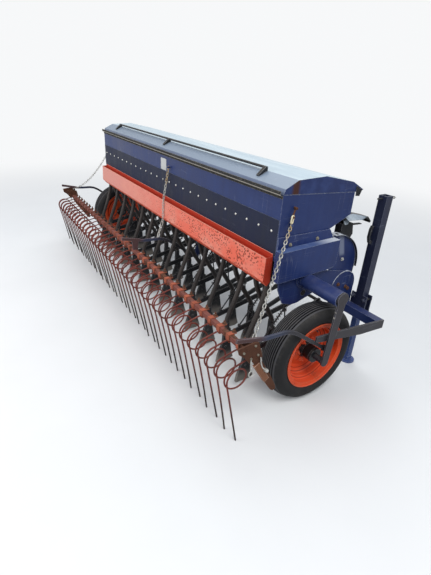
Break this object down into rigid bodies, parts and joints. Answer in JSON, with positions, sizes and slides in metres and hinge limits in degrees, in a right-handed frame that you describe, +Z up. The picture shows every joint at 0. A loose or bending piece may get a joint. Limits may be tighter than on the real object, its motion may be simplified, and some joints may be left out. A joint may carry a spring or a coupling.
{
  "type": "seed drill",
  "caption": "Three-point mounted seed drill: long hopper with hinged lid, coulters on drag arms fed by hoses, ground wheels, parking stands and a lifting tine harrow.",
  "frame": {"origin": "on the ground under the middle of the drill's bounding box; the wheel axle is 5 mm in front of it", "axes": "+X to the drill's right-hand end, +Y forward in the direction of travel, +Z up"},
  "size_m": [3.666, 1.4199, 1.39],
  "materials": {
    "navy_paint": "faded semi-gloss",
    "grey_blue_paint": "worn satin",
    "lid_paint": "bleached satin",
    "leg_paint": "semi-gloss",
    "orange_paint": "sun-bleached satin",
    "salmon_paint": "worn matt",
    "rusty_steel": "rusty",
    "tine_steel": "rusty red paint",
    "black_paint": "dusty satin",
    "galvanised_steel": "dull zinc",
    "hose_rubber": "matt",
    "tyre_rubber": "dusty matt"
  },
  "bodies": {
    "frame": {"front_beam": "navy_paint", "headstock": "navy_paint", "main_tube": "navy_paint", "end_frame_left": "navy_paint", "end_frame_right": "navy_paint", "beam_bracket_left": "navy_paint", "beam_bracket_right": "navy_paint", "hopper": "navy_paint", "hopper_gutter": "rusty_steel", "outlet_band": "navy_paint", "metering_units": "black_paint", "metering_shaft": "galvanised_steel", "tray": "orange_paint", "gear_cover": "navy_paint", "chain_guard": "navy_paint", "rate_gearbox": "black_paint", "wheel_arm_left": "grey_blue_paint", "wheel_arm_right": "grey_blue_paint", "outrigger_left": "grey_blue_paint", "outrigger_right": "grey_blue_paint", "stand_housing_left": "navy_paint", "stand_housing_right": "navy_paint", "coulter_rail": "black_paint", "rockshaft": "black_paint", "coulter_arms_front": "black_paint", "coulter_arms_rear": "black_paint", "coulter_shoes_front": "black_paint", "coulter_shoes_rear": "black_paint", "pressure_springs": "black_paint", "seed_tubes_front": "hose_rubber", "seed_tubes_rear": "hose_rubber", "chain_left": "galvanised_steel", "chain_mid": "galvanised_steel", "chain_right": "galvanised_steel"},
    "lid": {"lid": "lid_paint", "lid_rail": "black_paint"},
    "wheel_left": {"tyre_left": "tyre_rubber", "rim_left": "orange_paint"},
    "wheel_right": {"tyre_right": "tyre_rubber", "rim_right": "orange_paint"},
    "stand_left": {"stand_leg_left": "leg_paint"},
    "stand_right": {"stand_leg_right": "leg_paint"},
    "harrow": {"harrow_arm_left": "grey_blue_paint", "harrow_arm_mid": "grey_blue_paint", "harrow_arm_right": "grey_blue_paint", "harrow_beam": "salmon_paint", "harrow_brackets": "rusty_steel", "harrow_tines": "tine_steel"}
  },
  "joints": [
    {"name": "wheel_left_spin", "type": "hinge", "parent": "frame", "child": "wheel_left", "pos_m": [-1.68, 0.005, 0.33], "axis": [1, 0, 0], "continuous": true},
    {"name": "wheel_right_spin", "type": "hinge", "parent": "frame", "child": "wheel_right", "pos_m": [1.68, 0.005, 0.33], "axis": [1, 0, 0], "continuous": true},
    {"name": "lid_open", "type": "hinge", "parent": "frame", "child": "lid", "pos_m": [0, 0.423, 1.262], "axis": [-1, 0, 0], "range_deg": [0, 100]},
    {"name": "harrow_lift", "type": "hinge", "parent": "frame", "child": "harrow", "pos_m": [0, 0.035, 0.397], "axis": [-1, 0, 0], "range_deg": [0, 17], "deforming": ["chain_left", "chain_mid", "chain_right"]},
    {"name": "stand_left_slide", "type": "slide", "parent": "frame", "child": "stand_left", "axis": [0, 0, 1], "range_m": [0, 0.3]},
    {"name": "stand_right_slide", "type": "slide", "parent": "frame", "child": "stand_right", "axis": [0, 0, 1], "range_m": [0, 0.3]}
  ]
}
